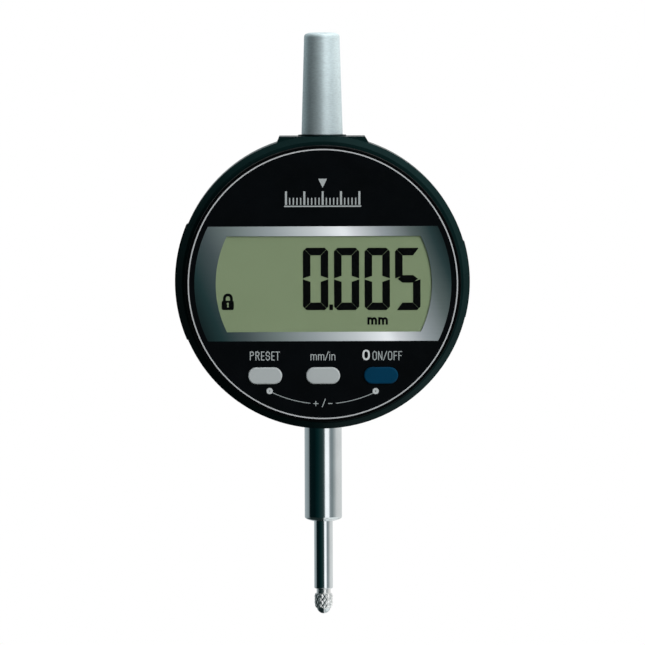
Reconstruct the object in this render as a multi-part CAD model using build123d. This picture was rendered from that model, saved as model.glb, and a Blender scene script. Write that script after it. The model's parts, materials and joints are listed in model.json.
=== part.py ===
from build123d import *
import math
import os

# Digital dial indicator with a plunger spindle, a swivelling display unit and a battery drawer.
# Millimetres. Z runs up along the spindle, the dial faces -Y, and the origin is the middle of the
# stem's clamping length, on the stem's axis. Heights called "rel" are measured from the centre of
# the round head.

# ------------------------------------------------------------------ driving dimensions
HZ = 40.9                    # centre of the round head above the origin

# stem, spindle and contact point
STEM_R = 4.0                 # 8 mm h6 clamping stem
STEM_ROOT_R = 3.8            # pressed root inside the case
STEM_BORE_R = 3.0
STEM_TOP = -22.0             # rel
STEM_WALL_TOP = -31.2        # rel, where the 8 mm diameter ends
STEM_CONE_TOP = -50.6        # rel
STEM_END = -51.5             # rel
STEM_END_R = 2.15
SPINDLE_R = 2.0
SPINDLE_LOW = -66.0          # rel, at rest
SPINDLE_HIGH = 33.5          # rel, at rest
TRAVEL = 12.5
RUN_GAP = 0.02               # radial running clearance of the spindle in its bushes
THREAD_R = 1.25              # M2.5 hole for the contact point

# round case
CASE_R = 31.35
CASE_FRONT_R = 30.1
CASE_REAR_R = 30.6
CAVITY_R = 29.2
CASE_Y_FRONT = -7.5
CASE_Y_BEVEL = -6.0
BULK_Y = -5.7                # inner face of the front wall
CASE_Y_TAPER = 7.3
CASE_Y_REAR = 8.9
COVER_Y = 9.5                # outer face of the back cover
COVER_R = 30.1
REBATE_R = 30.2
HUB_R = 12.0
HUB_BORE_R = 10.5
HUB_GAP = 0.05

# top block
BLOCK_TOP = 31.1             # rel
BLOCK_TOP_HALF = 9.16
BLOCK_FOOT = 29.3            # rel
BLOCK_FOOT_LEFT, BLOCK_FOOT_RIGHT = 9.9, 10.2
BLOCK_Y0, BLOCK_Y1 = -5.8, 6.6

# cap on top
COLLAR_R = 5.15
COLLAR_TOP = 31.4            # rel
CAP_TOP = 53.3               # rel
CAP_BASE_R = 4.43
CAP_TOP_R = 3.785

# swivelling display unit
HOUSING_R = 29.4
HOUSING_Y_REAR = -7.8
HOUSING_Y_FRONT = -16.5
POCKET_R = 27.8
SEAT_R = 28.78
SEAT_Y = -15.7               # back of the front cover
TRIM_R_OUT, TRIM_R_IN = 28.76, 28.50
COVER_FRONT_R = 28.48
FRAME_SEAT_Y = -16.2
LCD_Y = -16.17               # front of the LCD
LCD_LEFT, LCD_RIGHT, LCD_HALF_H = -24.1, 24.5, 11.25
SWIVEL_HALF = 135.0          # degrees each way
GROOVE_R = 25.0
PIN_R = 0.9

# window, frame and keys on the face (x, rel)
FACE_DX = 0.2
FRAME_R = 27.37
FRAME_Z0, FRAME_Z1 = -12.17, 12.31
WINDOW_R = 22.97
WINDOW_Z0, WINDOW_Z1 = -10.16, 10.18
KEY_L, KEY_H = 7.27, 3.57
KEY_PITCH = 12.33
KEY_DX = -0.04
KEY_Z = -19.49
KEY_TRAVEL = 0.5
KEY_PROUD = 0.5

# battery drawer
CELL_R, CELL_T = 10.0, 3.2
CELL_X = -17.8
CELL_Y0 = -0.4
DRAWER_R = 31.65
DRAWER_LOW, DRAWER_HIGH = -12.4, 12.95   # rel
DRAWER_X_IN = -27.9
DRAWER_Y0, DRAWER_Y1 = -1.9, 4.3

# cover of the data socket, on the right
PORT_R = 31.56
PORT_LOW, PORT_HIGH = -7.8, 8.5          # rel
PORT_Y0, PORT_Y1 = -1.6, 3.8

os.makedirs("parts", exist_ok=True)


# ------------------------------------------------------------------ helpers
def slab(sk, ya, yb):
    """A sketch drawn in (x, rel) as seen from the front, made solid between two Y planes."""
    lo, hi = min(ya, yb), max(ya, yb)
    return Pos(0, 0, HZ) * extrude(Plane.XZ.offset(-hi) * sk, hi - lo)


def disc(r, ya, yb, x=0.0, rel=0.0):
    return slab(Pos(x, rel) * Circle(r), ya, yb)


def ring(ro, ri, ya, yb, x=0.0, rel=0.0):
    return disc(ro, ya, yb, x, rel) - disc(ri, min(ya, yb) - 1, max(ya, yb) + 1, x, rel)


def box(x0, x1, y0, y1, r0, r1):
    return Pos((x0 + x1) / 2, (y0 + y1) / 2, HZ + (r0 + r1) / 2) * Box(x1 - x0, y1 - y0, r1 - r0)


def zrev(points):
    """Turned solid about the spindle axis from (radius, rel) points."""
    return Pos(0, 0, HZ) * revolve(Plane.XZ * make_face(Polyline(*points, close=True)), Axis.Z, 360)


def yrev(points):
    """Turned solid about the head's axis from (radius, y) points."""
    flat = make_face(Polyline(*[(r, -y) for r, y in points], close=True))
    return Pos(0, 0, HZ) * Rot(90, 0, 0) * revolve(Plane.XZ * flat, Axis.Z, 360)


def tube(ro, ri, r0, r1):
    return zrev([(ri, r0), (ro, r0), (ro, r1), (ri, r1)])


def cut_disc(r, z0, z1, x=0.0):
    """A disc with its top and bottom cut flat."""
    return Pos(x, 0) * (Circle(r) & (Pos(0, (z0 + z1) / 2) * Rectangle(2 * r + 2, z1 - z0)))


def stadium(length, height):
    return SlotOverall(length, height)


def ycone(r0, r1, ya, yb, x, rel):
    """Countersink or screw head, radius r0 at ya and r1 at yb."""
    solid = revolve(
        Plane.XZ * make_face(Polyline((0, -ya), (r0, -ya), (r1, -yb), (0, -yb), close=True)), Axis.Z, 360
    )
    return Pos(x, 0, HZ + rel) * Rot(90, 0, 0) * solid


def group(items):
    return Compound(children=[s for s in items])


def save(shape, name):
    export_step(shape, "parts/" + name + ".step")


corners_cover = [(sx * 18.5, sz * 18.5) for sx in (-1, 1) for sz in (-1, 1)]
corners_board = [(sx * 6.6, sz * 13.7) for sx in (-1, 1) for sz in (-1, 1)]
corners_guide = [(sx * 5.2, sz * 24.5) for sx in (-1, 1) for sz in (-1, 1)]
corners_main = [(sx * 16.26, sz * 16.26) for sx in (-1, 1) for sz in (-1, 1)]

# ------------------------------------------------------------------ rear case
case = yrev([
    (0, CASE_Y_FRONT), (CASE_FRONT_R, CASE_Y_FRONT), (CASE_R, CASE_Y_BEVEL),
    (CASE_R, CASE_Y_TAPER), (CASE_REAR_R, CASE_Y_REAR), (0, CASE_Y_REAR),
])
block = slab(
    Polygon((-BLOCK_FOOT_LEFT, BLOCK_FOOT), (BLOCK_FOOT_RIGHT, BLOCK_FOOT), (BLOCK_TOP_HALF, BLOCK_TOP),
            (-BLOCK_TOP_HALF, BLOCK_TOP), align=None),
    BLOCK_Y0, BLOCK_Y1,
)
# the crown of the round case is faced off level with the block
case = case - box(-9.6, 9.6, -12, 12, BLOCK_TOP, BLOCK_TOP + 3)
case = case + block
# cavity, rebate for the cover, bore for the display hub
case = case - disc(CAVITY_R, BULK_Y, 20) - disc(REBATE_R, 7.3, 20)
# bosses for the stem and the upper bush, tied into the front wall and the rim
lower_boss = slab(Circle(CAVITY_R + 0.6) & (Pos(0, -27) * Rectangle(14, 14)), BULK_Y - 0.2, 5.4)
upper_boss = slab(Circle(CAVITY_R + 0.6) & (Pos(0, 27) * Rectangle(14, 14)), BULK_Y - 0.2, 5.4)
case = case + lower_boss + upper_boss
# pillars for the back cover, the sensor board
for x, r in corners_cover:
    case = case + disc(2.6, BULK_Y - 0.2, 7.6, x, r)
for x, r in corners_board:
    case = case + disc(1.6, BULK_Y - 0.2, -4.2, x, r)
# rails of the battery drawer, C shaped, above and below the tray
for s in (-1, 1):
    a, b = (11.3, 12.5) if s > 0 else (-12.5, -11.3)
    c, d = (10.3, 11.4) if s > 0 else (-11.4, -10.3)
    case = case + box(-27.7, -9.0, BULK_Y - 0.2, -3.3, a, b)
    case = case + box(-27.7, -7.7, -3.3, 3.8, a, b)
    case = case + box(-27.7, -7.7, -2.2, -1.3, c, d)
    case = case + box(-27.7, -7.7, 3.1, 3.8, c, d)
# openings
case = case - disc(HUB_R + HUB_GAP, -20, BULK_Y + 0.01)
case = case - box(-40, -26.0, DRAWER_Y0 - 0.15, DRAWER_Y1 + 0.15, DRAWER_LOW - 0.15, DRAWER_HIGH + 0.1)
case = case - box(28.0, 33.0, PORT_Y0 + 0.6, PORT_Y1 - 0.6, PORT_LOW + 1.0, PORT_HIGH - 1.0)
case = case - box(30.2, 33.0, PORT_Y0 - 0.04, PORT_Y1 + 0.04, PORT_LOW - 0.04, PORT_HIGH + 0.04)
for s in (-1, 1):
    a, b = (11.3, 12.5) if s > 0 else (-12.5, -11.3)
    c, d = (10.3, 11.4) if s > 0 else (-11.4, -10.3)
    case = case + box(-27.7, -25.9, -3.3, 3.8, a, b)
    case = case + box(-27.7, -25.9, -2.2, -1.3, c, d)
    case = case + box(-27.7, -25.9, 3.1, 3.8, c, d)
# stem bore with its counterbore, and the upper bore
case = case - tube(STEM_ROOT_R, 0.0, -34, STEM_TOP)
case = case - tube(2.2, 0.0, STEM_TOP - 0.5, -19)
case = case - tube(STEM_R + 0.02, 0.0, -34, STEM_WALL_TOP)
case = case - tube(3.5, 0.0, 19, 35)
# screw holes
for x, r in corners_cover:
    case = case - disc(0.8, 1.0, 9, x, r)
for x, r in corners_board:
    case = case - disc(0.8, -6.1, -4, x, r)
for x, r in corners_guide:
    case = case - disc(0.8, 3.4, 6, x, r)
# groove for the swivel stop pin, open over the swivel's travel
half = SWIVEL_HALF + math.degrees(math.asin(PIN_R / GROOVE_R)) + 0.4
open_sector = 360 - 2 * half
wedge = Polygon(
    (0, 0),
    *[(40 * math.cos(math.radians(90 + t)), 40 * math.sin(math.radians(90 + t)))
      for t in (-open_sector / 2, -open_sector / 4, 0, open_sector / 4, open_sector / 2)],
    align=None,
)
groove = (Circle(GROOVE_R + 1.0) - Circle(GROOVE_R - 1.0)) - wedge
case = case - slab(groove, CASE_Y_FRONT - 1, -6.5)
save(case, "rear_case")

# ------------------------------------------------------------------ back cover
cover = yrev([(0, 7.6), (COVER_R, 7.6), (COVER_R, COVER_Y - 0.5), (COVER_R - 0.5, COVER_Y), (0, COVER_Y)])
for x, r in corners_cover:
    cover = cover - disc(1.15, 7, 10, x, r) - ycone(1.15, 2.15, COVER_Y - 1.0, COVER_Y, x, r)
save(cover, "back_cover")
save(ring(30.1, 29.3, 7.3, 7.6), "cover_gasket")
screws = []
for x, r in corners_cover:
    s = disc(0.8, 1.4, COVER_Y - 0.9, x, r) + ycone(0.9, 2.0, COVER_Y - 1.05, COVER_Y - 0.05, x, r)
    s = s - box(x - 1.3, x + 1.3, COVER_Y - 0.45, COVER_Y, r - 0.2, r + 0.2)
    s = s - box(x - 0.2, x + 0.2, COVER_Y - 0.45, COVER_Y, r - 1.3, r + 1.3)
    screws.append(s)
save(group(screws), "back_cover_screws")

# ------------------------------------------------------------------ stem and bushes
stem = zrev([
    (STEM_BORE_R, STEM_END + 0.6), (STEM_BORE_R, STEM_TOP), (STEM_ROOT_R, STEM_TOP), (STEM_ROOT_R, STEM_WALL_TOP),
    (STEM_R, STEM_WALL_TOP), (STEM_R, STEM_CONE_TOP), (3.93, -50.82), (3.74, -51.0), (3.4, -51.17), (2.9, -51.34),
    (STEM_END_R + 0.15, STEM_END), (2.1, STEM_END),
    (2.1, STEM_END + 0.6),
])
save(stem, "stem")
save(tube(2.98, SPINDLE_R + 0.05, -50.9, -50.0), "stem_wiper")
save(tube(STEM_BORE_R, SPINDLE_R + RUN_GAP, -49.9, -41.9), "lower_guide_bush")
save(tube(3.5, SPINDLE_R + RUN_GAP, 21.2, 29.2), "upper_guide_bush")
sleeve = zrev([(2.2, 13.7), (2.6, 13.7), (2.6, 20.0), (3.45, 20.0), (3.45, 21.1), (2.2, 21.1)])
save(sleeve, "travel_stop_sleeve")
save(tube(3.4, 2.3, -20.0, -19.06), "bumper_washer")

# ------------------------------------------------------------------ cap and its collar
collar = zrev([
    (2.4, 29.3), (3.45, 29.3), (3.45, BLOCK_TOP), (COLLAR_R, BLOCK_TOP), (COLLAR_R, COLLAR_TOP),
    (3.2, COLLAR_TOP), (3.2, 36.2), (2.4, 36.2),
])
save(collar, "cap_collar")
slope = (CAP_BASE_R - CAP_TOP_R) / (CAP_TOP - COLLAR_TOP)


def cap_r(rel):
    return CAP_BASE_R - slope * (rel - COLLAR_TOP)


cap = zrev([
    (3.25, COLLAR_TOP), (CAP_BASE_R - 0.12, COLLAR_TOP), (cap_r(31.55), 31.55), (cap_r(52.45), 52.45),
    (3.72, 52.72), (3.50, 52.96), (3.05, 53.15), (2.45, 53.26), (1.8, CAP_TOP), (0, CAP_TOP),
    (0, 50.7), (2.6, 50.7), (2.7, 50.4), (2.7, 36.4), (3.25, 36.4),
])
save(cap, "spindle_cap")

# ------------------------------------------------------------------ spindle group
spindle = zrev([
    (0, SPINDLE_LOW + 5.0), (THREAD_R, SPINDLE_LOW + 5.0), (THREAD_R, SPINDLE_LOW), (1.85, SPINDLE_LOW),
    (SPINDLE_R, SPINDLE_LOW + 0.15), (SPINDLE_R, SPINDLE_HIGH - 0.3), (1.7, SPINDLE_HIGH), (0, SPINDLE_HIGH),
])
save(spindle, "spindle")
BALL_R = 1.5
TIP = -71.42
point = zrev([
    (0, -61.6), (1.2, -61.6), (1.2, SPINDLE_LOW), (1.5, SPINDLE_LOW), (1.5, -67.0), (1.86, -67.1), (1.96, -67.5),
    (1.98, -68.3), (1.95, -69.2), (1.87, -69.75), (1.72, -70.08), (1.5, -70.24), (1.36, -70.44), (1.2, -70.6), (0, -70.6),
])
ball = Pos(0, 0, HZ + TIP + BALL_R) * Sphere(BALL_R)
point = point - ball
save(point, "contact_point")
save(ball, "contact_ball")
carrier = box(-4.5, 4.5, -2.9, 3.0, -19.0, 1.0) - tube(SPINDLE_R, 0.0, -25, 5)
carrier = carrier - Pos(3.2, 0, HZ - 15) * Rot(0, 90, 0) * Cylinder(0.8, 2.7)
carrier = carrier - disc(0.8, 2.2, 4, 0, -9)
save(carrier, "scale_carrier")
save(box(-3.8, 3.8, -3.2, -2.9, -18.5, 0.5), "scale_strip")
save(disc(0.8, 2.3, 6.1, 0, -9), "anti_rotation_pin")
save(Pos(3.2, 0, HZ - 15) * Rot(0, 90, 0) * Cylinder(0.75, 2.2), "carrier_set_screw")

# return spring, held at its upper end by the stop sleeve's flange
helix = Pos(0, 0, HZ + 1.3) * Helix(pitch=(18.4 / 10.0), height=18.4, radius=3.05)
wire = Plane(origin=helix @ 0, z_dir=helix % 0) * Circle(0.2)
spring = sweep(wire, path=helix, is_frenet=True)
save(spring, "return_spring")

# ------------------------------------------------------------------ guide plate
plate = box(-7, 7, 5.4, 6.2, -27.5, 27.5) - box(-0.83, 0.83, 5, 7, -10.2, 4.7)
for x, r in corners_guide:
    plate = plate - disc(0.95, 5, 7, x, r)
save(plate, "guide_plate")
save(group([disc(0.75, 3.6, 6.2, x, r) + disc(1.4, 6.2, 6.9, x, r) for x, r in corners_guide]), "guide_plate_screws")

# ------------------------------------------------------------------ sensor board
board = box(-8.6, 8.6, -4.2, -3.4, -15.5, 15.5)
for x, r in corners_board:
    board = board - disc(0.95, -5, -3, x, r)
save(board, "sensor_board")
save(box(-3.0, 3.0, -5.2, -4.2, -3.5, 3.5), "sensor_chip")
save(group([disc(0.75, -5.9, -3.4, x, r) + disc(1.4, -3.4, -2.7, x, r) for x, r in corners_board]),
     "sensor_board_screws")

# ------------------------------------------------------------------ display housing
housing = yrev([
    (HUB_BORE_R, -9.3), (POCKET_R, -9.3), (POCKET_R, SEAT_Y), (SEAT_R, SEAT_Y), (SEAT_R, HOUSING_Y_FRONT),
    (HOUSING_R - 0.15, HOUSING_Y_FRONT), (HOUSING_R - 0.04, HOUSING_Y_FRONT + 0.05),
    (HOUSING_R, HOUSING_Y_FRONT + 0.16), (HOUSING_R, HOUSING_Y_REAR - 0.3),
    (HOUSING_R - 0.3, HOUSING_Y_REAR), (HUB_R, HOUSING_Y_REAR), (HUB_R, -5.6), (11.4, -5.6), (11.4, -5.0),
    (HUB_R, -5.0), (HUB_R, -4.6), (HUB_BORE_R, -4.6),
])
housing = housing + disc(HUB_BORE_R + 0.2, -9.3, -7.8)
housing = housing - slab(Rectangle(9, 3), -10, -7)
for x, r in corners_main:
    housing = housing + disc(1.8, -10.4, -9.2, x, r)
for x, r in corners_main:
    housing = housing - disc(0.8, -11, -8.4, x, r)
housing = housing - disc(PIN_R, -9.0, -7, 0, -GROOVE_R)
save(housing, "display_housing")
save(disc(PIN_R, -9.0, -6.7, 0, -GROOVE_R), "swivel_stop_pin")
clip = ring(13.0, 11.4, -5.6, -5.0) - box(-1.4, 1.4, -6, -4, 5, 20)
save(clip, "swivel_retaining_ring")
save(ring(18.0, 12.4, -7.74, -7.5), "swivel_washer")

# ------------------------------------------------------------------ face of the display
front = disc(COVER_FRONT_R, HOUSING_Y_FRONT, SEAT_Y)
front = front - slab(cut_disc(FRAME_R, FRAME_Z0, FRAME_Z1), FRAME_SEAT_Y, -20)
front = front - box(LCD_LEFT - 0.1, LCD_RIGHT + 0.1, -20, -10, -LCD_HALF_H - 0.1, LCD_HALF_H + 0.1)
key_x = [KEY_DX - KEY_PITCH, KEY_DX, KEY_DX + KEY_PITCH]
for x in key_x:
    front = front - slab(Pos(x, KEY_Z) * stadium(KEY_L + 0.16, KEY_H + 0.16), -10, -20)
save(front, "front_cover")
save(ring(TRIM_R_OUT, TRIM_R_IN, HOUSING_Y_FRONT, SEAT_Y), "silver_trim_ring")
frame = slab(cut_disc(FRAME_R - 0.03, FRAME_Z0 + 0.03, FRAME_Z1 - 0.03), -16.47, FRAME_SEAT_Y)
frame = frame - slab(cut_disc(WINDOW_R + 0.03, WINDOW_Z0 - 0.03, WINDOW_Z1 + 0.03, FACE_DX), -10, -20)
save(frame, "lcd_frame")
save(slab(cut_disc(WINDOW_R, WINDOW_Z0, WINDOW_Z1, FACE_DX), -16.44, LCD_Y - 0.07), "display_window")
save(box(LCD_LEFT, LCD_RIGHT, LCD_Y, LCD_Y + 2.6, -LCD_HALF_H, LCD_HALF_H), "lcd_panel")
lcd_box = Pos(FACE_DX, 0) * Rectangle(48.7, 22.6)
lcd_carrier = slab((Circle(27.6) & Rectangle(53, 25.0)) - lcd_box, SEAT_Y + 0.05, -11.45)
save(lcd_carrier, "lcd_carrier")
save(group([box(-22, 22, LCD_Y + 2.6, -11.4, r - 1.0, r + 1.0) for r in (-9.6, 9.6)]), "elastomer_connectors")
pcb = disc(27.1, -11.4, -10.4)
for x, r in corners_main:
    pcb = pcb - disc(0.95, -12, -10, x, r)
save(pcb, "main_board")
save(box(-5, 5, -10.35, -9.5, 12.0, 20.0), "controller_chip")
save(group([disc(0.75, -11.4, -8.7, x, r) + disc(1.4, -12.1, -11.4, x, r) for x, r in corners_main]),
     "main_board_screws")
save(group([yrev([(0, -11.4), (2.2, -11.4), (2.0, -11.6), (1.3, -11.82), (0, -11.9)]).moved(Location((x, 0, KEY_Z)))
            for x in key_x]), "key_domes")

# ------------------------------------------------------------------ keys
for x, name in zip(key_x, ("key_set", "key_units", "key_zero_power")):
    body = slab(Pos(x, KEY_Z) * stadium(KEY_L, KEY_H), HOUSING_Y_FRONT - KEY_PROUD, -15.3)
    rim = body.faces().sort_by(Axis.Y)[0].edges()
    body = fillet(rim, 0.3)
    flange = slab(Pos(x, KEY_Z) * stadium(KEY_L + 1.2, KEY_H + 1.2), SEAT_Y + 0.05, SEAT_Y + 0.65)
    foot = disc(1.1, -15.4, -12.5, x, KEY_Z)
    save(body + flange + foot, name)

# ------------------------------------------------------------------ battery drawer and cell
outer = Circle(DRAWER_R) & (Pos(-40 + (40 + DRAWER_X_IN) / 2, (DRAWER_LOW + DRAWER_HIGH) / 2)
                            * Rectangle(40 + DRAWER_X_IN, DRAWER_HIGH - DRAWER_LOW))
nose = slab(outer, DRAWER_Y0, DRAWER_Y1)
# bevelled ends of the low bulge
for s, t0, t1 in ((-1, 21.0, 23.0), (1, 22.6, 24.2)):
    a0 = math.radians(180 - s * t0)
    p0 = (DRAWER_R * math.cos(a0), DRAWER_R * math.sin(a0))
    a1 = math.radians(180 - s * t1)
    p1 = ((CASE_R - 0.25) * math.cos(a1), (CASE_R - 0.25) * math.sin(a1))
    dx, dz = p1[0] - p0[0], p1[1] - p0[1]
    q0 = (p0[0] - 2 * dx, p0[1] - 2 * dz)
    q1 = (p1[0] + 3 * dx, p1[1] + 3 * dz)
    nose = nose - slab(Polygon(q0, q1, (q1[0] - 8, q1[1]), (q0[0] - 8, q0[1]), align=None), -5, 8)
tray = box(DRAWER_X_IN - 0.1, -8.0, -1.2, 3.0, -11.1, 11.1)
tray = tray - disc(CELL_R + 0.1, CELL_Y0, 5, CELL_X, 0) - disc(6.0, -3, 5, CELL_X, 0)
tray = tray - box(-13.0, -7.0, CELL_Y0, 5, -7.5, 7.5)
# thumb grooves on the outside of the drawer
drawer = nose + tray
for r in (-6.0, -3.0, 0.0, 3.0, 6.0):
    drawer = drawer - box(-33, -31.35 if abs(r) < 4 else -30.95, DRAWER_Y0 + 1.4, DRAWER_Y1 - 1.4, r - 0.45, r + 0.45)
save(drawer, "battery_drawer")
cell = yrev([(0, CELL_Y0), (CELL_R - 0.3, CELL_Y0), (CELL_R, CELL_Y0 + 0.3), (CELL_R, CELL_Y0 + CELL_T - 0.5),
             (CELL_R - 1.2, CELL_Y0 + CELL_T - 0.4), (CELL_R - 1.2, CELL_Y0 + CELL_T), (0, CELL_Y0 + CELL_T)])
save(cell.moved(Location((CELL_X, 0, 0))), "coin_cell")
minus = box(-16, -12, 3.8, 4.0, -12.3, 12.3) + disc(1.4, 2.9, 3.9, -14, 0)
save(minus, "battery_contact_negative")
save(box(-7.7, -7.5, -0.2, 2.6, -12.3, 12.3), "battery_contact_positive")

# ------------------------------------------------------------------ cover of the data socket
port = slab(Circle(PORT_R) & (Pos(35, (PORT_LOW + PORT_HIGH) / 2) * Rectangle(9.6, PORT_HIGH - PORT_LOW)), PORT_Y0, PORT_Y1)
port = port + box(28.6, 30.3, PORT_Y0 + 0.7, PORT_Y1 - 0.7, PORT_LOW + 1.1, PORT_HIGH - 1.1)
port = port - box(31.3, 33.0, PORT_Y0 + 1.9, PORT_Y1 - 1.9, -1.6, 2.2)
save(port, "data_socket_cover")
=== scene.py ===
import bpy
import json
import math
from mathutils import Matrix, Vector


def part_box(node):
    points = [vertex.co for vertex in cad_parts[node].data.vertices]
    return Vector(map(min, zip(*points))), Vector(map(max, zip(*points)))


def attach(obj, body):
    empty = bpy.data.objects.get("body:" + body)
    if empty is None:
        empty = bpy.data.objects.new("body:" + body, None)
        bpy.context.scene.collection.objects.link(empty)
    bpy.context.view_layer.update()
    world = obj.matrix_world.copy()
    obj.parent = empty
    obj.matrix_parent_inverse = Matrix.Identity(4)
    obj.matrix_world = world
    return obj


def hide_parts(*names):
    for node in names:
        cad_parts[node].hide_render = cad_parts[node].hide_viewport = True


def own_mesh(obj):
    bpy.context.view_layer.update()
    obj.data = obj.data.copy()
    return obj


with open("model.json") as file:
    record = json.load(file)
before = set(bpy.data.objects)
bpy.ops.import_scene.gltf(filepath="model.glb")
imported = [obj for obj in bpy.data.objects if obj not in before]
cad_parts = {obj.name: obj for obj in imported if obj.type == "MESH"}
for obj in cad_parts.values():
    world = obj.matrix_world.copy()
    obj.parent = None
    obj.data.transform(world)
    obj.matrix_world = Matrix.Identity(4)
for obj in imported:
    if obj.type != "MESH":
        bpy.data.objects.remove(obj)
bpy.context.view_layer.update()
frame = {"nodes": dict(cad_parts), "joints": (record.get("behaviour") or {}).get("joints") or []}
NODES = frame["nodes"]
MM = 0.001


def joint(name):
    for j in frame["joints"]:
        if j["name"] == name:
            return j
    return None


HEAD = Vector(joint("display_rotation")["pos_m"])
HZ = HEAD.z                                  # height of the head's centre
FACE_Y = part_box("front_cover")[0].y          # the front of the display's cover
LCD_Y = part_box("lcd_panel")[0].y             # the front of the LCD
WIN_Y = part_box("display_window")[1].y        # the back of the clear window


def lin(*rgb):
    """sRGB 0-255 to linear."""
    out = []
    for c in rgb:
        c = c / 255.0
        out.append(c / 12.92 if c <= 0.04045 else ((c + 0.055) / 1.055) ** 2.4)
    return tuple(out)


# ------------------------------------------------------------------ material helpers
class Net:
    def __init__(self, name):
        self.m = bpy.data.materials.new(name)
        self.m.use_nodes = True
        self.t = self.m.node_tree
        self.t.nodes.clear()
        self.out = self.add("ShaderNodeOutputMaterial")
        self.b = self.add("ShaderNodeBsdfPrincipled")
        self.link(self.b.outputs["BSDF"], self.out.inputs["Surface"])
        self.tc = self.add("ShaderNodeTexCoord")
        self.obj = self.tc.outputs["Object"]

    def add(self, kind, **values):
        n = self.t.nodes.new(kind)
        for k, v in values.items():
            setattr(n, k, v)
        return n

    def link(self, a, b):
        self.t.links.new(a, b)

    def set(self, **values):
        for k, v in values.items():
            s = self.b.inputs[k.replace("_", " ")]
            s.default_value = v
        return self

    def scaled(self, sx, sy, sz, rot=(0, 0, 0), loc=(0, 0, 0)):
        n = self.add("ShaderNodeMapping")
        n.inputs["Scale"].default_value = (sx, sy, sz)
        n.inputs["Rotation"].default_value = rot
        n.inputs["Location"].default_value = loc
        self.link(self.obj, n.inputs["Vector"])
        return n.outputs["Vector"]

    def noise(self, vec, scale, detail=3.0, rough=0.55, dist=0.0):
        n = self.add("ShaderNodeTexNoise")
        n.inputs["Scale"].default_value = scale
        n.inputs["Detail"].default_value = detail
        n.inputs["Roughness"].default_value = rough
        n.inputs["Distortion"].default_value = dist
        self.link(vec, n.inputs["Vector"])
        return n.outputs["Fac"]

    def ramp(self, fac, stops, interp="LINEAR"):
        n = self.add("ShaderNodeValToRGB")
        r = n.color_ramp
        r.interpolation = interp
        while len(r.elements) > 1:
            r.elements.remove(r.elements[-1])
        r.elements[0].position = stops[0][0]
        r.elements[0].color = tuple(stops[0][1]) + (1.0,)
        for p, c in stops[1:]:
            e = r.elements.new(p)
            e.color = tuple(c) + (1.0,)
        self.link(fac, n.inputs["Fac"])
        return n.outputs["Color"]

    def math(self, op, a, b=None, clamp=False):
        n = self.add("ShaderNodeMath", operation=op, use_clamp=clamp)
        for i, v in enumerate((a, b)):
            if v is None:
                continue
            if isinstance(v, (int, float)):
                n.inputs[i].default_value = v
            else:
                self.link(v, n.inputs[i])
        return n.outputs[0]

    def spread(self, fac, lo, hi):
        n = self.add("ShaderNodeMapRange")
        n.inputs["From Min"].default_value = 0.25
        n.inputs["From Max"].default_value = 0.75
        n.inputs["To Min"].default_value = lo
        n.inputs["To Max"].default_value = hi
        self.link(fac, n.inputs["Value"])
        return n.outputs["Result"]

    def bump(self, height, distance, strength=1.0, normal=None):
        n = self.add("ShaderNodeBump")
        n.inputs["Strength"].default_value = strength
        n.inputs["Distance"].default_value = distance
        self.link(height, n.inputs["Height"])
        if normal is not None:
            self.link(normal, n.inputs["Normal"])
        return n.outputs["Normal"]


def two_tone(c, spread):
    return [tuple(max(0.0, v * (1 - spread)) for v in c), tuple(min(1.0, v * (1 + spread)) for v in c)]


def plastic(name, color, rough=0.3, grain=0.0, grain_size=0.12, spread=0.18, coat=0.0, spec=0.5, rough_var=0.05, tint=None):
    """Moulded plastic: slow colour variation, fine spark-eroded grain, uneven gloss."""
    n = Net(name)
    slow = n.noise(n.obj, 160.0, 4.0)
    a, b = two_tone(color, spread)
    n.link(n.ramp(slow, [(0.3, a), (0.7, b)]), n.b.inputs["Base Color"])
    fine = n.noise(n.obj, 1.0 / (grain_size * MM), 2.0)
    n.link(n.spread(n.noise(n.obj, 420.0, 3.0), rough - rough_var, rough + rough_var), n.b.inputs["Roughness"])
    if grain:
        n.link(n.bump(fine, grain * MM), n.b.inputs["Normal"])
    n.set(Specular_IOR_Level=spec)
    if tint:
        n.set(Specular_Tint=tuple(tint) + (1.0,))
    if coat:
        n.set(Coat_Weight=coat, Coat_Roughness=0.06)
    return n.m


def steel(name, color, rough=0.14, lines=3200.0, depth=0.0006, axis="z", spread=0.05, rough_var=0.03, waver=0.0):
    """Ground steel: fine lines across the length, small changes of gloss, slightly uneven reflections."""
    n = Net(name)
    flat = {"z": (60.0, 60.0, lines), "x": (lines, 60.0, 60.0), "y": (60.0, lines, 60.0)}[axis]
    streak = n.noise(n.scaled(*flat), 1.0, 3.0, 0.7)
    slow = n.noise(n.obj, 240.0, 3.0)
    a, b = two_tone(color, spread)
    n.link(n.ramp(slow, [(0.3, a), (0.7, b)]), n.b.inputs["Base Color"])
    n.link(n.spread(streak, rough - rough_var, rough + rough_var), n.b.inputs["Roughness"])
    normal = n.bump(streak, depth * MM)
    if waver:
        wave = n.noise(n.scaled(420.0, 420.0, 1500.0), 1.0, 2.0, 0.5)
        normal = n.bump(wave, waver * MM, normal=normal)
    n.link(normal, n.b.inputs["Normal"])
    n.set(Metallic=1.0)
    return n.m


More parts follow.
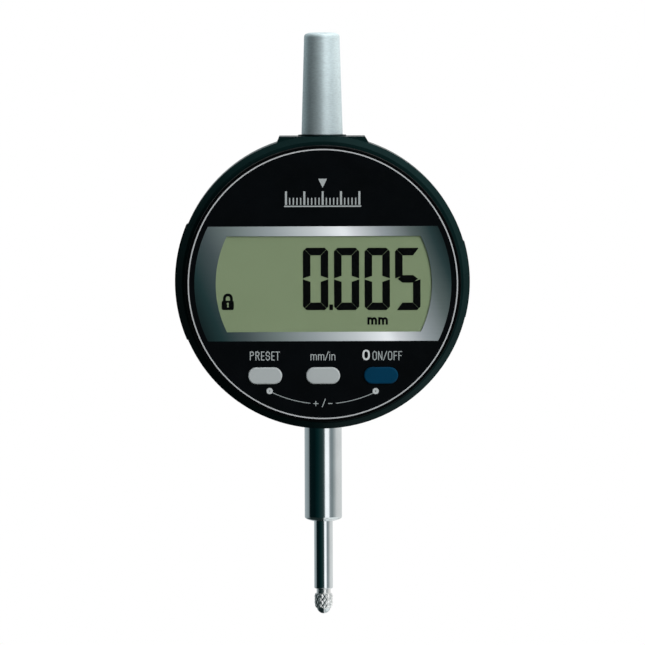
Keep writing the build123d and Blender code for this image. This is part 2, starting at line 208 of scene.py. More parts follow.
def satin(name, color, rough=0.36, grain=0.004, size=0.09, spread=0.05, fine_spread=0.0, metallic=1.0, painted_highlight_z=None):
    """Bead-blasted or anodised metal. The height grading (from z, to z, factor) paints the colour lighter towards one
    end: a painted highlight where the light falls.
    """
    n = Net(name)
    fine = n.noise(n.obj, 1.0 / (size * MM), 2.0, 0.6)
    slow = n.noise(n.obj, 140.0, 4.0)
    mixed = slow
    if fine_spread:
        turned = n.noise(n.scaled(1200.0, 1200.0, 5200.0), 1.0, 3.0, 0.6)
        mixed = n.math("ADD", n.math("MULTIPLY", slow, 0.3), n.math("MULTIPLY", turned, 0.7))
    a, b = two_tone(color, max(spread, fine_spread))
    tint = n.ramp(mixed, [(0.3, a), (0.7, b)])
    # painted highlight: the base colour is scaled lighter with height, standing in for light falling on the top
    if painted_highlight_z:
        sep = n.add("ShaderNodeSeparateXYZ")
        n.link(n.obj, sep.inputs[0])
        m = n.add("ShaderNodeMapRange")
        m.inputs["From Min"].default_value = painted_highlight_z[0]
        m.inputs["From Max"].default_value = painted_highlight_z[1]
        m.inputs["To Min"].default_value = 1.0
        m.inputs["To Max"].default_value = painted_highlight_z[2]
        n.link(sep.outputs["Z"], m.inputs["Value"])
        v = n.add("ShaderNodeVectorMath", operation="SCALE")
        n.link(tint, v.inputs[0])
        n.link(m.outputs["Result"], v.inputs["Scale"])
        tint = v.outputs["Vector"]
    n.link(tint, n.b.inputs["Base Color"])
    n.link(n.spread(fine, rough - 0.04, rough + 0.05), n.b.inputs["Roughness"])
    n.link(n.bump(fine, grain * MM), n.b.inputs["Normal"])
    n.set(Metallic=metallic)
    return n.m


def ink(name, color, spread=0.05, rough=0.42, spec=0.15):
    """Printed ink: nearly even, with the faint mottle of a screen print."""
    n = Net(name)
    fine = n.noise(n.obj, 5200.0, 2.0)
    a, b = two_tone(color, spread)
    n.link(n.ramp(fine, [(0.3, a), (0.7, b)]), n.b.inputs["Base Color"])
    n.link(n.spread(fine, rough - 0.04, rough + 0.04), n.b.inputs["Roughness"])
    n.set(Specular_IOR_Level=spec)
    return n.m


# ------------------------------------------------------------------ materials
M = {}
M["case"] = plastic("m_case_plastic", (0.0026, 0.0092, 0.0092), rough=0.30, grain=0.0008, grain_size=0.11, spec=0.03, tint=(0.3, 1.0, 0.95))
M["cover"] = plastic("m_cover_plastic", (0.012, 0.016, 0.017), rough=0.46, grain=0.004, grain_size=0.16)
M["housing"] = plastic("m_housing_plastic", (0.0006, 0.0009, 0.0010), rough=0.52, grain=0.0004, spread=0.25, spec=0.02)
M["face"] = plastic("m_face_black", (0.0009, 0.0011, 0.0016), rough=0.16, grain=0.0, spread=0.3, rough_var=0.03, spec=0.22)
M["trim"] = ink("m_silver_trim", lin(159, 160, 161), rough=0.34)
M["legend_bold"] = ink("m_legend_ink_bold", lin(176, 179, 179))
M["legend"] = ink("m_legend_ink", lin(144, 148, 148))
M["legend_dots"] = ink("m_legend_ink_dots", lin(163, 166, 166))
M["legend_dim"] = ink("m_legend_ink_dim", lin(135, 140, 140))
M["legend_line"] = ink("m_legend_ink_line", lin(124, 129, 129))
M["key_grey"] = plastic("m_key_grey", lin(148, 152, 152), rough=0.42, grain=0.0012, grain_size=0.08, spread=0.03, spec=0.2)
M["key_blue"] = plastic("m_key_blue", lin(0, 44, 67), rough=0.42, grain=0.0012, grain_size=0.08, spread=0.06, spec=0.07)
M["segment"] = ink("m_lcd_segment", (0.0010, 0.0012, 0.0014), spread=0.3, rough=0.5, spec=0.03)
M["stem"] = steel("m_ground_stem", (0.66, 0.69, 0.70), rough=0.10, depth=0.0002, waver=0.006)
M["spindle"] = steel("m_ground_spindle", (0.70, 0.73, 0.74), rough=0.085, lines=4200.0, depth=0.0001, waver=0.0015)
M["contact"] = steel("m_knurled_steel", (0.82, 0.82, 0.81), rough=0.28, lines=2500.0, depth=0.0002, rough_var=0.04)
M["ball"] = steel("m_ball_carbide", (0.50, 0.53, 0.54), rough=0.08, lines=900.0, depth=0.0002)
# cap: painted highlight, the colour is lighter towards the top, where the light falls
M["cap"] = satin("m_cap_aluminium", (0.612, 0.70, 0.718), rough=0.49, grain=0.0045, size=0.13, spread=0.03, fine_spread=0.15, metallic=0.76,
                 painted_highlight_z=(HZ + 40.0 * MM, HZ + 52.0 * MM, 1.17))
M["collar"] = satin("m_collar_black", (0.006, 0.026, 0.026), rough=0.42)
M["screw"] = steel("m_screw_black", (0.10, 0.10, 0.105), rough=0.32, lines=1800.0, depth=0.001, rough_var=0.07)
M["bronze"] = steel("m_bronze", (0.55, 0.36, 0.17), rough=0.32, lines=2600.0, depth=0.001)
M["brass"] = steel("m_plated_leaf", (0.68, 0.60, 0.38), rough=0.25, lines=1500.0, depth=0.001, axis="x")
M["spring"] = steel("m_spring_steel", (0.50, 0.51, 0.53), rough=0.22, lines=1500.0, depth=0.001)
M["alu"] = satin("m_machined_aluminium", (0.58, 0.60, 0.62), rough=0.30, grain=0.002, size=0.2)
M["rubber"] = plastic("m_rubber", (0.012, 0.012, 0.013), rough=0.62, grain=0.006, grain_size=0.14)
M["ptfe"] = plastic("m_ptfe", (0.72, 0.72, 0.69), rough=0.5, grain=0.001, spread=0.04)
M["chip"] = plastic("m_epoxy", (0.018, 0.018, 0.02), rough=0.5, grain=0.004, grain_size=0.09)
M["white"] = plastic("m_white_moulding", (0.62, 0.62, 0.60), rough=0.45, grain=0.001, spread=0.04)
M["cell"] = satin("m_cell_can", (0.66, 0.66, 0.64), rough=0.2, grain=0.001, size=0.3)


def frame_painted_reflection():
    """Silver frame around the LCD. Its colour is graded along a slanted line, dark, light, dark: a painted reflection
    streak.
    """
    n = Net("m_frame_silver")
    sep = n.add("ShaderNodeSeparateXYZ")
    n.link(n.obj, sep.inputs[0])
    z = n.math("SUBTRACT", sep.outputs["Z"], HZ)
    s = n.math("ADD", sep.outputs["X"], n.math("MULTIPLY", z, 0.415))
    s = n.math("SUBTRACT", s, 8.84 * MM)
    u = n.math("MULTIPLY", n.math("ADD", s, 40.4 * MM), 1.0 / (61.7 * MM), clamp=True)
    wobble = n.noise(n.scaled(60.0, 60.0, 5200.0), 1.0, 2.0)
    u = n.math("ADD", u, n.math("MULTIPLY", n.math("SUBTRACT", wobble, 0.5), 0.012))

    def at(px):
        return (px + 190.0) / 290.0

    # painted reflection: the light and dark bands of reflected light are given as colours along the slanted line
    stops = [
        (at(-188), lin(3, 10, 12)), (at(-165), lin(26, 46, 47)), (at(-140), lin(66, 76, 78)), (at(-110), lin(104, 114, 113)),
        (at(-70), lin(144, 151, 153)), (at(-30), lin(186, 190, 192)), (at(-2), lin(224, 226, 228)), (at(3), lin(222, 224, 226)),
        (at(12), lin(198, 200, 203)), (at(38), lin(143, 149, 152)), (at(68), lin(83, 93, 92)), (at(88), lin(34, 50, 51)),
        (at(99), lin(16, 30, 31)),
    ]
    stops = [(p, tuple(v * (0.885 if c[1] > 0.05 else 1.0) for v in c)) for p, c in stops]
    n.link(n.ramp(u, stops), n.b.inputs["Base Color"])
    fine = n.noise(n.scaled(90.0, 90.0, 6400.0), 1.0, 2.0)
    n.link(n.spread(fine, 0.34, 0.42), n.b.inputs["Roughness"])
    n.set(Specular_IOR_Level=0.1)
    return n.m


def lcd_material():
    """Reflective liquid crystal: grey-green, with the grain of its rear reflector."""
    n = Net("m_lcd_reflector")
    grain = n.noise(n.obj, 7000.0, 2.0)
    slow = n.noise(n.obj, 60.0, 2.0)
    mixed = n.math("ADD", n.math("MULTIPLY", grain, 0.65), n.math("MULTIPLY", slow, 0.35))
    n.link(n.ramp(mixed, [(0.3, lin(117, 131, 100)), (0.7, lin(125, 139, 108))]), n.b.inputs["Base Color"])
    n.link(n.spread(grain, 0.36, 0.46), n.b.inputs["Roughness"])
    n.set(Specular_IOR_Level=0.2)
    return n.m


def window_material():
    """Thin clear acrylic: nearly all see-through, with a faint reflection."""
    n = Net("m_window_clear")
    slow = n.noise(n.obj, 90.0, 2.0)
    n.link(n.ramp(slow, [(0.3, (0.006, 0.0075, 0.006)), (0.7, (0.010, 0.012, 0.010))]), n.b.inputs["Base Color"])
    n.link(n.spread(slow, 0.05, 0.09), n.b.inputs["Roughness"])
    n.set(Alpha=0.05)
    return n.m


def board_material():
    """Green solder mask with copper tracks showing through and tinned pads."""
    n = Net("m_board")
    turn = n.add("ShaderNodeTexBrick")
    turn.offset = 0.5
    turn.inputs["Scale"].default_value = 1.0
    turn.inputs["Brick Width"].default_value = 1.9
    turn.inputs["Row Height"].default_value = 0.75
    turn.inputs["Mortar Size"].default_value = 0.09
    turn.inputs["Color1"].default_value = (0.008, 0.085, 0.032, 1)
    turn.inputs["Color2"].default_value = (0.010, 0.105, 0.040, 1)
    turn.inputs["Mortar"].default_value = (0.03, 0.20, 0.075, 1)
    m = n.add("ShaderNodeMapping")
    m.inputs["Scale"].default_value = (1000, 1000, 1000)
    m.inputs["Rotation"].default_value = (math.pi / 2, 0, 0)
    n.link(n.obj, m.inputs["Vector"])
    n.link(m.outputs["Vector"], turn.inputs["Vector"])
    n.link(turn.outputs["Color"], n.b.inputs["Base Color"])
    n.link(n.bump(turn.outputs["Fac"], 0.02 * MM, 0.6), n.b.inputs["Normal"])
    n.link(n.spread(n.noise(n.obj, 900.0), 0.28, 0.36), n.b.inputs["Roughness"])
    return n.m


def stripes(name, dark, light, pitch, axis="X", metallic=0.0):
    n = Net(name)
    wave = n.add("ShaderNodeTexWave", wave_type="BANDS", bands_direction=axis)
    wave.inputs["Scale"].default_value = 1.0 / (pitch * MM) / 3.183
    wave.inputs["Distortion"].default_value = 0.0
    n.link(n.obj, wave.inputs["Vector"])
    n.link(n.ramp(wave.outputs["Fac"], [(0.45, dark), (0.55, light)]), n.b.inputs["Base Color"])
    n.link(n.spread(n.noise(n.obj, 1200.0), 0.25, 0.38), n.b.inputs["Roughness"])
    n.set(Metallic=metallic)
    return n.m


M["frame"] = frame_painted_reflection()
M["lcd"] = lcd_material()
M["window"] = window_material()
M["board"] = board_material()
M["scale"] = stripes("m_scale_strip", (0.05, 0.09, 0.09), (0.55, 0.35, 0.2), 0.9, "Z", 0.6)
M["zebra"] = stripes("m_zebra", (0.02, 0.02, 0.02), (0.45, 0.25, 0.28), 0.25, "X")

PAINT = {
    "rear_case": "case", "back_cover": "cover", "cover_gasket": "rubber", "back_cover_screws": "screw", "stem": "stem",
    "stem_wiper": "rubber", "lower_guide_bush": "bronze", "upper_guide_bush": "bronze", "travel_stop_sleeve": "bronze",
    "bumper_washer": "rubber", "cap_collar": "collar", "spindle_cap": "cap", "return_spring": "spring",
    "guide_plate": "spring", "guide_plate_screws": "screw", "sensor_board": "board", "sensor_chip": "chip",
    "sensor_board_screws": "screw", "swivel_washer": "ptfe", "battery_contact_positive": "brass",
    "battery_contact_negative": "brass", "spindle": "spindle", "contact_point": "contact", "contact_ball": "ball",
    "scale_carrier": "alu", "scale_strip": "scale", "anti_rotation_pin": "spring", "carrier_set_screw": "screw",
    "display_housing": "housing", "front_cover": "face", "silver_trim_ring": "trim", "lcd_frame": "frame",
    "display_window": "window", "lcd_panel": "lcd", "lcd_carrier": "white", "elastomer_connectors": "zebra",
    "main_board": "board", "controller_chip": "chip", "main_board_screws": "screw", "key_domes": "brass",
    "swivel_retaining_ring": "spring", "swivel_stop_pin": "spring", "key_set": "key_grey", "key_units": "key_grey",
    "key_zero_power": "key_blue", "battery_drawer": "case", "coin_cell": "cell", "data_socket_cover": "case",
}
for name, obj in NODES.items():
    mat = M[PAINT[name]]
    if not obj.data.materials:
        obj.data.materials.append(mat)
    for i in range(len(obj.material_slots)):
        obj.material_slots[i].material = mat


# ------------------------------------------------------------------ mesh helpers
def make_object(name, verts, faces, mat, smooth=True, sharp=32.0):
    me = bpy.data.meshes.new(name)
    me.from_pydata([tuple(v) for v in verts], [], faces)
    me.validate()
    me.update()
    ob = bpy.data.objects.new(name, me)
    bpy.context.scene.collection.objects.link(ob)
    me.materials.append(mat)
    if smooth:
        for p in me.polygons:
            p.use_smooth = True
        me.set_sharp_from_angle(angle=math.radians(sharp))
    return ob


def join_meshes(name, parts, mat, smooth=False):
    verts, faces = [], []
    for v, f in parts:
        base = len(verts)
        verts += v
        faces += [tuple(i + base for i in q) for q in f]
    return make_object(name, verts, faces, mat, smooth)


def flat_solid(loops, y_front, y_back, bevel=0.0):
    """Closed solid from outlines drawn in (x, height above the head's centre), metres. Inner outlines make holes."""
    cu = bpy.data.curves.new("tmp_outline", "CURVE")
    cu.dimensions = "2D"
    cu.fill_mode = "BOTH"
    half = (y_back - y_front) / 2
    cu.extrude = half - bevel
    cu.bevel_depth = bevel
    cu.bevel_resolution = 1
    cu.offset = -bevel
    for loop in loops:
        sp = cu.splines.new("POLY")
        sp.points.add(len(loop) - 1)
        for i, (x, z) in enumerate(loop):
            sp.points[i].co = (x, z, 0, 1)
        sp.use_cyclic_u = True
    ob = bpy.data.objects.new("tmp_outline", cu)
    bpy.context.scene.collection.objects.link(ob)
    bpy.context.view_layer.update()
    dg = bpy.context.evaluated_depsgraph_get()
    me = bpy.data.meshes.new_from_object(ob.evaluated_get(dg))
    mid = (y_front + y_back) / 2
    verts = [(v.co.x, mid - v.co.z, HZ + v.co.y) for v in me.vertices]
    faces = [tuple(p.vertices) for p in me.polygons]
    bpy.data.objects.remove(ob)
    bpy.data.curves.remove(cu)
    bpy.data.meshes.remove(me)
    return weld(verts, faces)


def weld(verts, faces, eps=2e-7):
    """Joins points that lie on each other, and drops the faces that collapse."""
    seen, index, out = {}, [], []
    for v in verts:
        key = tuple(round(c / eps) for c in v)
        if key not in seen:
            seen[key] = len(out)
            out.append(v)
        index.append(seen[key])
    good = []
    for f in faces:
        q = []
        for i in f:
            j = index[i]
            if not q or q[-1] != j:
                q.append(j)
        if len(q) > 1 and q[0] == q[-1]:
            q.pop()
        if len(set(q)) > 2:
            good.append(tuple(q))
    return out, good


def stroke(points, width, closed=False):
    """Outline(s) of a pen stroke with mitred corners, as loops for flat_solid."""
    pts = [Vector(p) for p in points]
    n = len(pts)
    left, right = [], []
    for i in range(n):
        if closed:
            a, b, c = pts[i - 1], pts[i], pts[(i + 1) % n]
            d0, d1 = (b - a).normalized(), (c - b).normalized()
        else:
            b = pts[i]
            d0 = (b - pts[i - 1]).normalized() if i else (pts[1] - b).normalized()
            d1 = (pts[i + 1] - b).normalized() if i < n - 1 else d0
        n0, n1 = Vector((-d0.y, d0.x)), Vector((-d1.y, d1.x))
        m = (n0 + n1)
        m = m.normalized() if m.length > 1e-9 else n0
        k = width / 2 / max(0.35, m.dot(n0))
        left.append(tuple(b + m * k))
        right.append(tuple(b - m * k))
    if closed:
        return [left, right]
    return [left + right[::-1]]


def arc(cx, cz, r, a0, a1, steps=10):
    return [(cx + r * math.cos(math.radians(a0 + (a1 - a0) * i / steps)),
             cz + r * math.sin(math.radians(a0 + (a1 - a0) * i / steps))) for i in range(steps + 1)]


def round_loop(x0, z0, x1, z1, r, steps=8):
    return (arc(x1 - r, z0 + r, r, -90, 0, steps) + arc(x1 - r, z1 - r, r, 0, 90, steps)
            + arc(x0 + r, z1 - r, r, 90, 180, steps) + arc(x0 + r, z0 + r, r, 180, 270, steps))


# ------------------------------------------------------------------ the face: scale from the drawing unit to metres
U = 0.2127 * MM              # one drawing unit on the face plane
CX, CZ = 322.75, 283.2       # the head's centre in drawing units
LEAN = 0.0038                # the print sits this much clockwise of the case


def turned(x, z):
    return (x + z * LEAN, z - x * LEAN)


def face(px, py):
    return turned((px - CX) * U, (CZ - py) * U)


UL = 0.21286 * MM            # one drawing unit on the LCD


def on_lcd(px, py):
    return turned((px - 322.35) * UL, (283.2 - py) * UL)


SEG_F, SEG_B = LCD_Y - 0.045 * MM, LCD_Y - 0.005 * MM


def segments(x0, x1, z1, z0, which):
    """Outlines of one seven-segment digit: x0..x1 across, z1 top, z0 bottom, in metres."""
    t = 7.5 * UL              # bar thickness
    w = 0.28 * UL             # mitre gap
    c = 3.5 * UL              # outer corner
    d, e = w * 0.354, w * 0.707
    mid = (z0 + z1) / 2 + 0.10 * UL
    n = 2.5 * UL              # rise of the slanted ends at mid height
    m = 0.5 * UL
    h = c / 2
    out = []
    if "a" in which:          # top
        left = [(x0 + h + d, z1 - h + d), (x0 + c, z1)] if "f" in which else [(x0 + 0.6 * UL, z1)]
        right = [(x1 - c, z1), (x1 - h - d, z1 - h + d)] if "b" in which else [(x1 - 1.9 * UL, z1), (x1 - 1.9 * UL - 0.3 * UL, z1 - 0.8 * UL)]
        xr = x1 - t - e if "b" in which else x1 - t + 0.2 * UL
        xl = x0 + t + e if "f" in which else x0 + t - 1.0 * UL
        out.append(left + right + [(xr, z1 - t), (xl, z1 - t)])
    if "d" in which:          # bottom
        left = [(x0 + c, z0), (x0 + h + d, z0 + h - d)] if "e" in which else [(x0 + 1.9 * UL, z0), (x0 + 2.2 * UL, z0 + 0.8 * UL)]
        right = [(x1 - h - d, z0 + h - d), (x1 - c, z0)] if "c" in which else [(x1 - 0.6 * UL, z0)]
        xr = x1 - t - e if "c" in which else x1 - t
        xl = x0 + t + e if "e" in which else x0 + t - 0.3 * UL
        out.append([(xl, z0 + t), (xr, z0 + t)] + right + left)
    if "f" in which:          # upper left
        out.append([(x0, z1 - c), (x0 + h - d, z1 - h - d), (x0 + t, z1 - t - e), (x0 + t, mid + m + n), (x0, mid + m)])
    if "b" in which:          # upper right
        out.append([(x1, z1 - c), (x1, mid + m), (x1 - t, mid + m + n), (x1 - t, z1 - t - e), (x1 - h + d, z1 - h - d)])
    if "e" in which:          # lower left
        out.append([(x0, mid - m), (x0 + t, mid - m - n), (x0 + t, z0 + t + e), (x0 + h - d, z0 + h + d), (x0, z0 + c)])
    if "c" in which:          # lower right
        out.append([(x1, mid - m), (x1, z0 + c), (x1 - h + d, z0 + h + d), (x1 - t, z0 + t + e), (x1 - t, mid - m - n)])
    if "g" in which:          # middle
        out.append([(x0 + 2.4 * UL, mid), (x0 + t - 0.1 * UL, mid + t / 2), (x1 - t + 0.2 * UL, mid + t / 2), (x1 - 2.4 * UL, mid),
                    (x1 - t - 0.3 * UL, mid - t / 2), (x0 + t - 0.1 * UL, mid - t / 2)])
    return out


digit_parts = []
for (a, b), which in zip(((302.3, 327.85), (333.4, 358.8), (363.95, 389.45), (394.4, 419.97)), ("abcdef", "abcdef", "abcdef", "acdfg")):
    x0, z1 = on_lcd(a, 247.0)
    x1, z0 = on_lcd(b, 309.2)
    for loop in segments(x0, x1, z1, z0, which):
        digit_parts.append(flat_solid([loop], SEG_F, SEG_B))
x0, z1 = on_lcd(328.8, 303.6)
x1, z0 = on_lcd(332.5, 309.2)
digit_parts.append(flat_solid([round_loop(x0, z0, x1, z1, 0.5 * UL, 3)], SEG_F, SEG_B))
lcd_digits = join_meshes("lcd_digits", digit_parts, M["segment"])

# padlock
lx0, lz0 = on_lcd(221.3, 309.2)
lx1, lz1 = on_lcd(233.35, 299.9)
key_x, key_z = on_lcd(227.45, 302.9)
low_x, low_z = on_lcd(227.45, 305.8)
keyhole = arc(key_x, key_z, 1.15 * UL, -55, 235, 12) + arc(low_x, low_z, 1.05 * UL, 125, 415, 12)
lock_parts = [flat_solid([round_loop(lx0, lz0, lx1, lz1, 1.6 * UL, 6), keyhole], SEG_F, SEG_B)]
sx, sz = on_lcd(227.45, 297.6)
shackle = [(sx - 3.5 * UL, lz1 - 0.3 * UL)] + arc(sx, sz, 3.5 * UL, 180, 0, 20) + [(sx + 3.5 * UL, lz1 - 0.3 * UL)]
lock_parts.append(flat_solid(stroke(shackle, 2.7 * UL), SEG_F, SEG_B))
lcd_padlock = join_meshes("lcd_padlock", lock_parts, M["segment"])


# ------------------------------------------------------------------ a plain condensed stroke alphabet
def glyph(ch, x, z, w, h, t):
    """Strokes of one letter as (points, closed). The letter's box is w by h, the pen is t wide."""
    r = t / 2
    a, b, c, d = x + r, z + r, x + w - r, z + h - r       # pen box
    k = min((c - a) / 2, (d - b) / 4)
    m = (b + d) / 2
    if ch == "0":
        cx, q, e = (a + c) / 2, (c - a) / 2, (d - b) / 2
        oval = []
        for i in range(40):
            p = 2 * math.pi * i / 40
            cp, sp = math.cos(p), math.sin(p)
            oval.append((cx + q * math.copysign(abs(cp) ** 0.72, cp), m + e * math.copysign(abs(sp) ** 0.82, sp)))
        return [(oval, True)]
    if ch == "O":
        return [(round_loop(a, b, c, d, k), True)]
    if ch == "S":
        pts = [(c, d - 1.5 * k)] + arc(c - k, d - k, k, 0, 90, 6) + arc(a + k, d - k, k, 90, 180, 6)
        pts += arc(a + k, m + k * 0.9, k, 180, 250, 5) + arc(c - k, m - k * 0.9, k, 70, 0, 5)
        pts += arc(c - k, b + k, k, 0, -90, 6) + arc(a + k, b + k, k, 270, 180, 6) + [(a, b + 1.5 * k)]
        return [(pts, False)]
    if ch == "E":
        return [([(x + w, d), (a, d), (a, b), (x + w, b)], False), ([(a + r, m), (x + w * 0.88, m)], False)]
    if ch == "F":
        return [([(x + w, d), (a, d), (a, z)], False), ([(a + r, m + 0.02 * h), (x + w * 0.88, m + 0.02 * h)], False)]
    if ch in "PR":
        q = (d - m - 0.04 * h) / 2
        bowl = [(a, d), (c - q, d)] + arc(c - q, d - q, q, 90, -90, 10) + [(a, d - 2 * q)]
        out = [([(a, z), (a, z + h)], False), (bowl, False)]
        if ch == "R":
            out.append(([((a + c) / 2, d - 2 * q), (c + r * 0.3, z)], False))
        return out
    if ch == "T":
        return [([(x, d), (x + w, d)], False), ([((a + c) / 2, d - r), ((a + c) / 2, z)], False)]
    if ch == "N":
        return [([(a, z), (a, z + h)], False), ([(c, z), (c, z + h)], False), ([(a + r * 0.4, z + h - r), (c - r * 0.4, z + r)], False)]
    if ch == "/":
        return [([(a - r * 0.6, z), (c + r * 0.6, z + h)], False)]
    if ch == "i":
        xh = 0.74 * h
        return [([(a, z), (a, z + xh)], False), ([(a, z + h - t * 1.05), (a, z + h)], False)]
    if ch in "mn":
        xh = 0.74 * h if h > 0 else h
        out = [([(a, z), (a, z + xh)], False)]
        legs = 2 if ch == "m" else 1
        step = (c - a) / legs
        q = step / 2
        for i in range(legs):
            s = a + i * step
            out.append((arc(s + q, z + xh - r - q, q, 165, 0, 9) + [(s + step, z)], False))
        return out
    if ch == "+":
        return [([(x, m), (x + w, m)], False), ([((a + c) / 2, m - w / 2), ((a + c) / 2, m + w / 2)], False)]
    if ch == "-":
        return [([(x, m), (x + w, m)], False)]
    return []


def write(name, letters, mat, y_front, y_back, unit, place):
    """letters: (character, x0, x1, top, bottom, pen) in drawing units."""
    parts, lift = [], 0
    for ch, a, b, top, bottom, pen in letters:
        x0, z0 = place(a, bottom)
        x1, z1 = place(b, top)
        for pts, closed in glyph(ch, x0, z0, x1 - x0, z1 - z0, pen * unit):
            lift = (lift + 1) % 3
            parts.append(flat_solid(stroke(pts, pen * unit, closed), y_front - lift * 0.0006 * MM, y_back))
    return join_meshes(name, parts, mat)


INK_F, INK_B = FACE_Y - 0.022 * MM, FACE_Y + 0.004 * MM

# "mm" on the LCD, bold
m_h = 7.4 / 0.74
lcd_unit = write("lcd_unit", [("m", 366.9, 376.5, 323.8 - m_h, 323.8, 2.1), ("m", 377.7, 387.3, 323.8 - m_h, 323.8, 2.1)],
                 M["segment"], SEG_F, SEG_B, UL, on_lcd)

letters = [("P", 249.75, 253.9, 350.75, 359.65, 0.86), ("R", 255.35, 259.45, 350.75, 359.65, 0.86), ("E", 260.9, 264.4, 350.75, 359.65, 0.86),
           ("S", 265.5, 269.8, 350.75, 359.65, 0.86), ("E", 271.2, 274.6, 350.75, 359.65, 0.86), ("T", 275.3, 279.7, 350.75, 359.65, 0.86)]
legend_set = write("legend_set", letters, M["legend"], INK_F, INK_B, U, face)
letters = [("m", 310.4, 316.7, 351.24, 359.5, 0.83), ("m", 317.9, 324.2, 351.24, 359.5, 0.83), ("/", 324.8, 328.5, 350.6, 359.7, 0.83),
           ("i", 329.2, 330.3, 351.0, 359.5, 0.83), ("n", 331.3, 335.2, 351.24, 359.5, 0.83)]
legend_units = write("legend_units", letters, M["legend"], INK_F, INK_B, U, face)
legend_zero = write("legend_zero", [("0", 362.4, 369.7, 348.8, 359.35, 1.82)], M["legend_bold"], INK_F, INK_B, U, face)
letters = [("O", 372.4, 376.8, 350.3, 359.3, 0.9), ("N", 378.0, 382.3, 350.3, 359.3, 0.9), ("/", 383.1, 386.9, 350.1, 359.6, 0.9),
           ("O", 387.8, 392.2, 350.3, 359.3, 0.9), ("F", 393.5, 397.1, 350.3, 359.3, 0.9), ("F", 398.3, 401.9, 350.3, 359.3, 0.9)]
legend_power = write("legend_power", letters, M["legend_dim"], INK_F, INK_B, U, face)
letters = [("+", 313.2, 318.3, 398.35, 407.35, 0.85), ("/", 321.9, 325.5, 398.1, 406.4, 0.85), ("-", 328.0, 332.4, 398.35, 407.2, 0.85)]
legend_sign = write("legend_sign", letters, M["legend_dim"], INK_F, INK_B, U, face)

# the two dots and the arcs between them
parts = []
for dx in (269.6, 375.6):
    x, z = face(dx, 390.3)
    parts.append(flat_solid([arc(x, z, 3.1 * U, 0, 352.5, 47), arc(x, z, 0.6 * U, 0, 337.5, 15)], INK_F, INK_B))
legend_dots = join_meshes("legend_dots", parts, M["legend_dots"])
parts = []
xc, zc = turned((322.6 - 322.1) * U, 0.0)
for s in (-1, 1):
    pts = [turned(120.0 * U * math.sin(math.radians(s * a)), -120.0 * U * math.cos(math.radians(a)))
           for a in [6.1 + (24.9 - 6.1) * i / 24 for i in range(25)]]
    parts.append(flat_solid(stroke([(x + xc - 0.2 * U, z) for x, z in pts], 0.82 * U), INK_F + 0.002 * MM, INK_B))
legend_arc = join_meshes("legend_arc", parts, M["legend_line"])

# a plain graduated mark above the display
parts = []
base_x0, base_z = face(284.0, 205.5)
base_x1, _ = face(361.0, 205.5)
parts.append(flat_solid(stroke([(base_x0, base_z), (base_x1, base_z)], 1.3 * U), INK_F, INK_B))
for i in range(21):
    x = base_x0 + (base_x1 - base_x0) * (i + 0.5) / 21
    tall = 15.0 if i % 5 == 0 else 8.5
    pen = 2.0 if i % 5 == 0 else 1.2
    parts.append(flat_solid(stroke([(x, base_z + 1.4 * U), (x, base_z + tall * U)], pen * U), INK_F, INK_B))
px_, pz_ = base_x0 + (base_x1 - base_x0) * 10.5 / 21, base_z + 18.5 * U
parts.append(flat_solid([[(px_, pz_), (px_ + 4.4 * U, pz_ + 9.0 * U), (px_ - 4.4 * U, pz_ + 9.0 * U)]], INK_F, INK_B))
scale_mark = join_meshes("scale_mark", parts, M["legend"])

for ob in (lcd_digits, lcd_padlock, lcd_unit):
    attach(ob, "display_unit")
for ob in (legend_set, legend_units, legend_zero, legend_power, legend_sign, legend_dots, legend_arc, scale_mark):
    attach(ob, "display_unit")


# ------------------------------------------------------------------ contact point with its diamond knurl
def tri(u):
    f = u - math.floor(u)
    return 1.0 - abs(2.0 * f - 1.0)          # 0 on the groove, 1 between grooves


def knurled_contact():
    starts, pitch, depth = 14, 1.34, 0.15
    cols = starts * 14
    top, bottom = -67.10, -70.10
    outline = [(-67.10, 1.86), (-67.5, 1.96), (-68.3, 1.98), (-69.2, 1.95), (-69.75, 1.87), (-70.10, 1.72)]

    def r_at(z):
        for (za, ra), (zb, rb) in zip(outline, outline[1:]):
            if za >= z >= zb:
                t = (za - z) / (za - zb)
                return ra + (rb - ra) * t
        return outline[-1][1]

    plain_above = [(1.19, -61.6), (1.2, -61.7), (1.2, -65.98), (1.40, -66.0), (1.48, -66.02), (1.50, -66.07), (1.50, -66.92),
                   (1.53, -67.0), (1.62, -67.04), (1.70, -67.06)]
    plain_below = [(1.50, -70.24), (1.36, -70.44), (1.28, -70.52), (1.20, -70.60)]
    verts, faces = [], []

    def ring_of(fn, z):
        for i in range(cols):
            a = 2 * math.pi * i / cols
            r = fn(a)
            verts.append((r * math.cos(a) * MM, r * math.sin(a) * MM, HZ + z * MM))

    for r, z in plain_above:
        ring_of(lambda a, r=r: r, z)
    rows = 66
    for k in range(rows + 1):
        z = top + (bottom - top) * k / rows
        fade = min(1.0, k / 3.0, (rows - k) / 4.0)

        def radius(a, z=z, fade=fade):
            u = a / (2 * math.pi) * starts
            v = z / pitch
            crest = min(1.0, min(tri(u + v), tri(u - v)) / 0.80)      # crests left slightly flat
            return r_at(z) - depth * (1.0 - crest) * (0.4 + 0.6 * fade)

        ring_of(radius, z)
    for r, z in plain_below:
        ring_of(lambda a, r=r: r, z)
    n = len(verts) // cols
    for k in range(n - 1):
        for i in range(cols):
            j = (i + 1) % cols
            faces.append((k * cols + i, (k + 1) * cols + i, (k + 1) * cols + j, k * cols + j))
    faces.append(tuple(range(cols)))
    faces.append(tuple((n - 1) * cols + i for i in range(cols - 1, -1, -1)))
    return make_object("contact_knurled", verts, faces, M["contact"], True, 28.0)


knurl = knurled_contact()
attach(knurl, "spindle_group")
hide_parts("contact_point")
